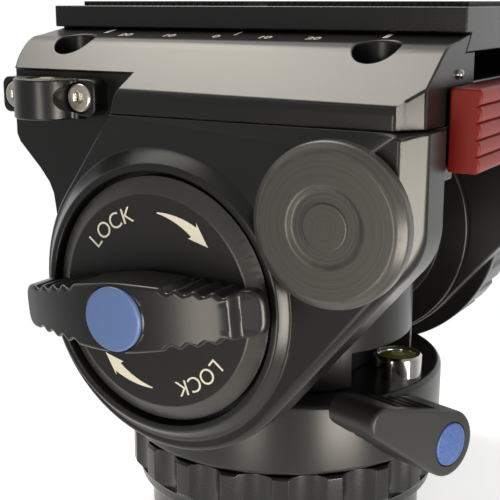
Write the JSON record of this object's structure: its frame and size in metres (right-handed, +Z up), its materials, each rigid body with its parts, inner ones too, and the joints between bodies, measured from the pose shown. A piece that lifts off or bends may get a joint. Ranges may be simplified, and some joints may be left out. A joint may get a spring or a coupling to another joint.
{
  "type": "fluid video head",
  "caption": "Black fluid video head with sliding camera plate, winged tilt lock, pan lock lever, fluted pan drag ring, red release lever and two bubble levels.",
  "frame": {"origin": "centre of the base's underside, on the pan axis", "axes": "+Z up along the pan axis, +Y to the front of the camera plate, +X to the drag dial's side; tilt turns about X"},
  "size_m": [0.1264, 0.0984, 0.1138],
  "materials": {
    "black_anodised": "satin black anodised",
    "satin_casting": "satin black, smooth",
    "turned_alloy": "turned, black anodised",
    "black_steel": "blackened",
    "steel": "ground",
    "stainless": "bright stainless",
    "level_ring_metal": "polished",
    "bronze": "machined",
    "rubber": "matt, ribbed",
    "level_fluid": "clear with yellow-green fluid",
    "blue_anodised": "blue anodised",
    "red_anodised": "satin red"
  },
  "bodies": {
    "base": {"base_plate": "black_anodised", "pan_spindle": "steel", "spindle_screws": "steel", "spindle_nut": "steel", "pan_damper_disc": "bronze"},
    "pan_ring": {"pan_drag_ring": "black_anodised"},
    "pan_body": {"pan_housing": "satin_casting", "pedestal": "satin_casting", "housing_screws": "steel", "pan_bearing": "steel", "pan_seal": "rubber", "pan_brake_shoe": "bronze", "base_level_ring": "level_ring_metal", "base_level_vial": "level_fluid", "tilt_bushes": "bronze", "barrel_cap": "turned_alloy", "counterbalance_spring": "steel"},
    "pan_lock": {"pan_lever": "black_anodised", "pan_lever_stud": "steel", "pan_lever_cap": "blue_anodised"},
    "tilt_frame": {"platform": "satin_casting", "near_cheek": "satin_casting", "far_cheek": "satin_casting", "tilt_axle": "steel", "platform_screws": "black_steel", "tilt_damper_rotor": "bronze", "boss_cap": "turned_alloy", "boss_pin": "black_steel", "level_bracket": "satin_casting", "level_vial": "level_fluid", "bracket_screws": "stainless", "release_pin": "steel"},
    "tilt_knob": {"knob_disc": "black_anodised", "knob_wing": "black_anodised", "knob_cap": "blue_anodised", "knob_stud": "steel"},
    "tilt_drag": {"drag_dial": "black_anodised", "dial_cap": "turned_alloy"},
    "plate": {"camera_plate": "black_anodised", "plate_pad_front": "rubber", "plate_pad_rear": "rubber"},
    "clip": {"screw_clip": "steel"},
    "screw": {"camera_screw": "steel"},
    "release": {"release_lever": "red_anodised"},
    "latch": {"plate_latch": "steel"}
  },
  "joints": [
    {"name": "pan_drag_turn", "type": "hinge", "parent": "base", "child": "pan_ring", "pos_m": [0, 0, 0.014], "axis": [0, 0, 1], "range_deg": [-150, 150]},
    {"name": "pan", "type": "hinge", "parent": "base", "child": "pan_body", "pos_m": [0, 0, 0.028], "axis": [0, 0, 1], "continuous": true},
    {"name": "pan_lock_turn", "type": "hinge", "parent": "pan_body", "child": "pan_lock", "pos_m": [0, 0, 0.0277], "axis": [-0.309, -0.9511, 0], "range_deg": [0, 65]},
    {"name": "tilt", "type": "hinge", "parent": "pan_body", "child": "tilt_frame", "pos_m": [0, 0, 0.0596], "axis": [1, 0, 0], "range_deg": [-75, 40]},
    {"name": "tilt_lock_turn", "type": "hinge", "parent": "tilt_frame", "child": "tilt_knob", "pos_m": [-0.05, 0, 0.0596], "axis": [1, 0, 0], "range_deg": [0, 100]},
    {"name": "tilt_drag_turn", "type": "hinge", "parent": "tilt_frame", "child": "tilt_drag", "pos_m": [0.054, 0, 0.0596], "axis": [1, 0, 0], "range_deg": [-150, 150]},
    {"name": "plate_slide", "type": "slide", "parent": "tilt_frame", "child": "plate", "axis": [0, 1, 0], "range_m": [-0.02, 0.02]},
    {"name": "screw_lift", "type": "slide", "parent": "plate", "child": "clip", "axis": [0, 0, 1], "range_m": [0, 0.005]},
    {"name": "screw_spin", "type": "hinge", "parent": "clip", "child": "screw", "pos_m": [0, -0.0025, 0.105], "axis": [0, 0, 1], "continuous": true},
    {"name": "release_turn", "type": "hinge", "parent": "tilt_frame", "child": "release", "pos_m": [0.012, -0.05205, 0.0926], "axis": [0, 0, 1], "range_deg": [0, 22], "stiffness_Nm_per_rad": 0.3},
    {"name": "latch_drop", "type": "slide", "parent": "tilt_frame", "child": "latch", "axis": [0, 0, -1], "range_m": [0, 0.0025]}
  ],
  "couplings": [
    {"joint": "latch_drop", "follows": "release_turn", "m_per_rad": 0.0064}
  ]
}
